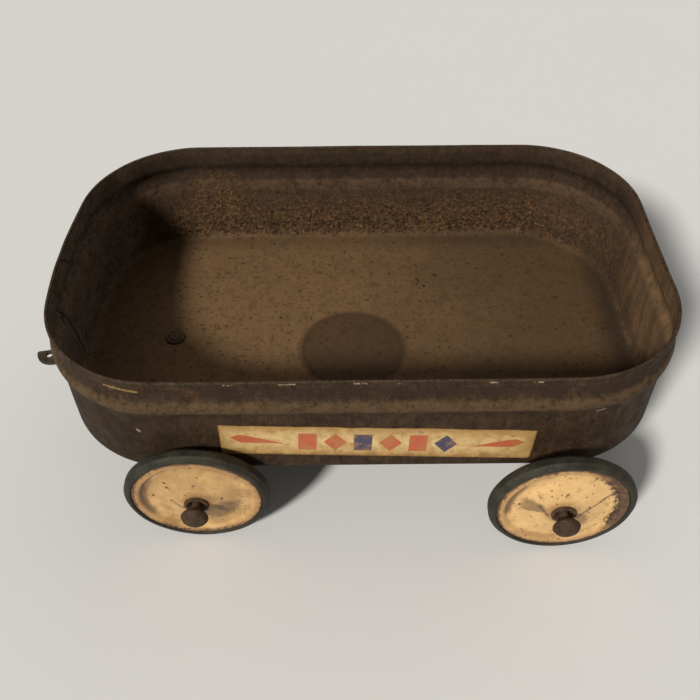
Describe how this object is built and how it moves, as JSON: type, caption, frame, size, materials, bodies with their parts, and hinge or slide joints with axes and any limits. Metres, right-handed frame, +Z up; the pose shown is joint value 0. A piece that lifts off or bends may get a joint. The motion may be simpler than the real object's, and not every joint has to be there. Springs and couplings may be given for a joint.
{
  "type": "toy wagon",
  "caption": "Small pressed-steel toy wagon: round-cornered open pan with a hemmed rim and a swaged bead, disc wheels with rubber tyres, and a flat swivelling tongue with an eye for a cord.",
  "frame": {"origin": "on the ground at the centre of the wagon's outer box", "axes": "+Z up, +X from the front, where the tongue stands out, to the rear, +Y from the left side to the right side"},
  "size_m": [0.3883, 0.2872, 0.128],
  "materials": {
    "pan_steel": "old dark brown paint, rusted and matt",
    "disc_paint": "aged cream paint with rust specks",
    "tyre_rubber": "old black rubber, dusty",
    "bare_steel": "bare steel, rusted dark brown",
    "label_paper": "yellowed printed paper"
  },
  "bodies": {
    "chassis": {"pan": "pan_steel", "label_left": "label_paper", "label_right": "label_paper", "front_axle_bracket": "pan_steel", "rear_axle_bracket": "pan_steel", "tongue_rivet": "bare_steel", "tongue_washer": "bare_steel"},
    "tongue": {"tongue": "bare_steel"},
    "front_axle": {"front_axle_rod": "bare_steel", "front_axle_washer_left": "bare_steel", "front_axle_washer_right": "bare_steel", "front_axle_cap_left": "bare_steel", "front_axle_cap_right": "bare_steel"},
    "wheel_front_left": {"wheel_front_left_outer_disc": "disc_paint", "wheel_front_left_inner_disc": "disc_paint", "wheel_front_left_hub": "bare_steel", "wheel_front_left_tyre": "tyre_rubber"},
    "wheel_front_right": {"wheel_front_right_outer_disc": "disc_paint", "wheel_front_right_inner_disc": "disc_paint", "wheel_front_right_hub": "bare_steel", "wheel_front_right_tyre": "tyre_rubber"},
    "rear_axle": {"rear_axle_rod": "bare_steel", "rear_axle_washer_left": "bare_steel", "rear_axle_washer_right": "bare_steel", "rear_axle_cap_left": "bare_steel", "rear_axle_cap_right": "bare_steel"},
    "wheel_rear_left": {"wheel_rear_left_outer_disc": "disc_paint", "wheel_rear_left_inner_disc": "disc_paint", "wheel_rear_left_hub": "bare_steel", "wheel_rear_left_tyre": "tyre_rubber"},
    "wheel_rear_right": {"wheel_rear_right_outer_disc": "disc_paint", "wheel_rear_right_inner_disc": "disc_paint", "wheel_rear_right_hub": "bare_steel", "wheel_rear_right_tyre": "tyre_rubber"}
  },
  "joints": [
    {"name": "tongue_swivel", "type": "hinge", "parent": "chassis", "child": "tongue", "pos_m": [-0.10575, -0.0015, 0.0503], "axis": [0, 0, 1], "range_deg": [-55.5, 34.5]},
    {"name": "front_axle_float", "type": "slide", "parent": "chassis", "child": "front_axle", "axis": [0, 1, 0], "range_m": [-0.00985, 0.00135]},
    {"name": "wheel_front_left_spin", "type": "hinge", "parent": "front_axle", "child": "wheel_front_left", "pos_m": [-0.07895, -0.11575, 0.0415], "axis": [0, 0.999, 0.0454], "continuous": true},
    {"name": "wheel_front_right_spin", "type": "hinge", "parent": "front_axle", "child": "wheel_front_right", "pos_m": [-0.07895, 0.12425, 0.0415], "axis": [0, 0.999, -0.0454], "continuous": true},
    {"name": "rear_axle_float", "type": "slide", "parent": "chassis", "child": "rear_axle", "axis": [0, 1, 0], "range_m": [-0.00135, 0.00985]},
    {"name": "wheel_rear_left_spin", "type": "hinge", "parent": "rear_axle", "child": "wheel_rear_left", "pos_m": [0.12745, -0.12425, 0.0415], "axis": [0, 1, 0.0035], "continuous": true},
    {"name": "wheel_rear_right_spin", "type": "hinge", "parent": "rear_axle", "child": "wheel_rear_right", "pos_m": [0.12745, 0.11575, 0.0415], "axis": [0, 1, -0.0035], "continuous": true}
  ]
}
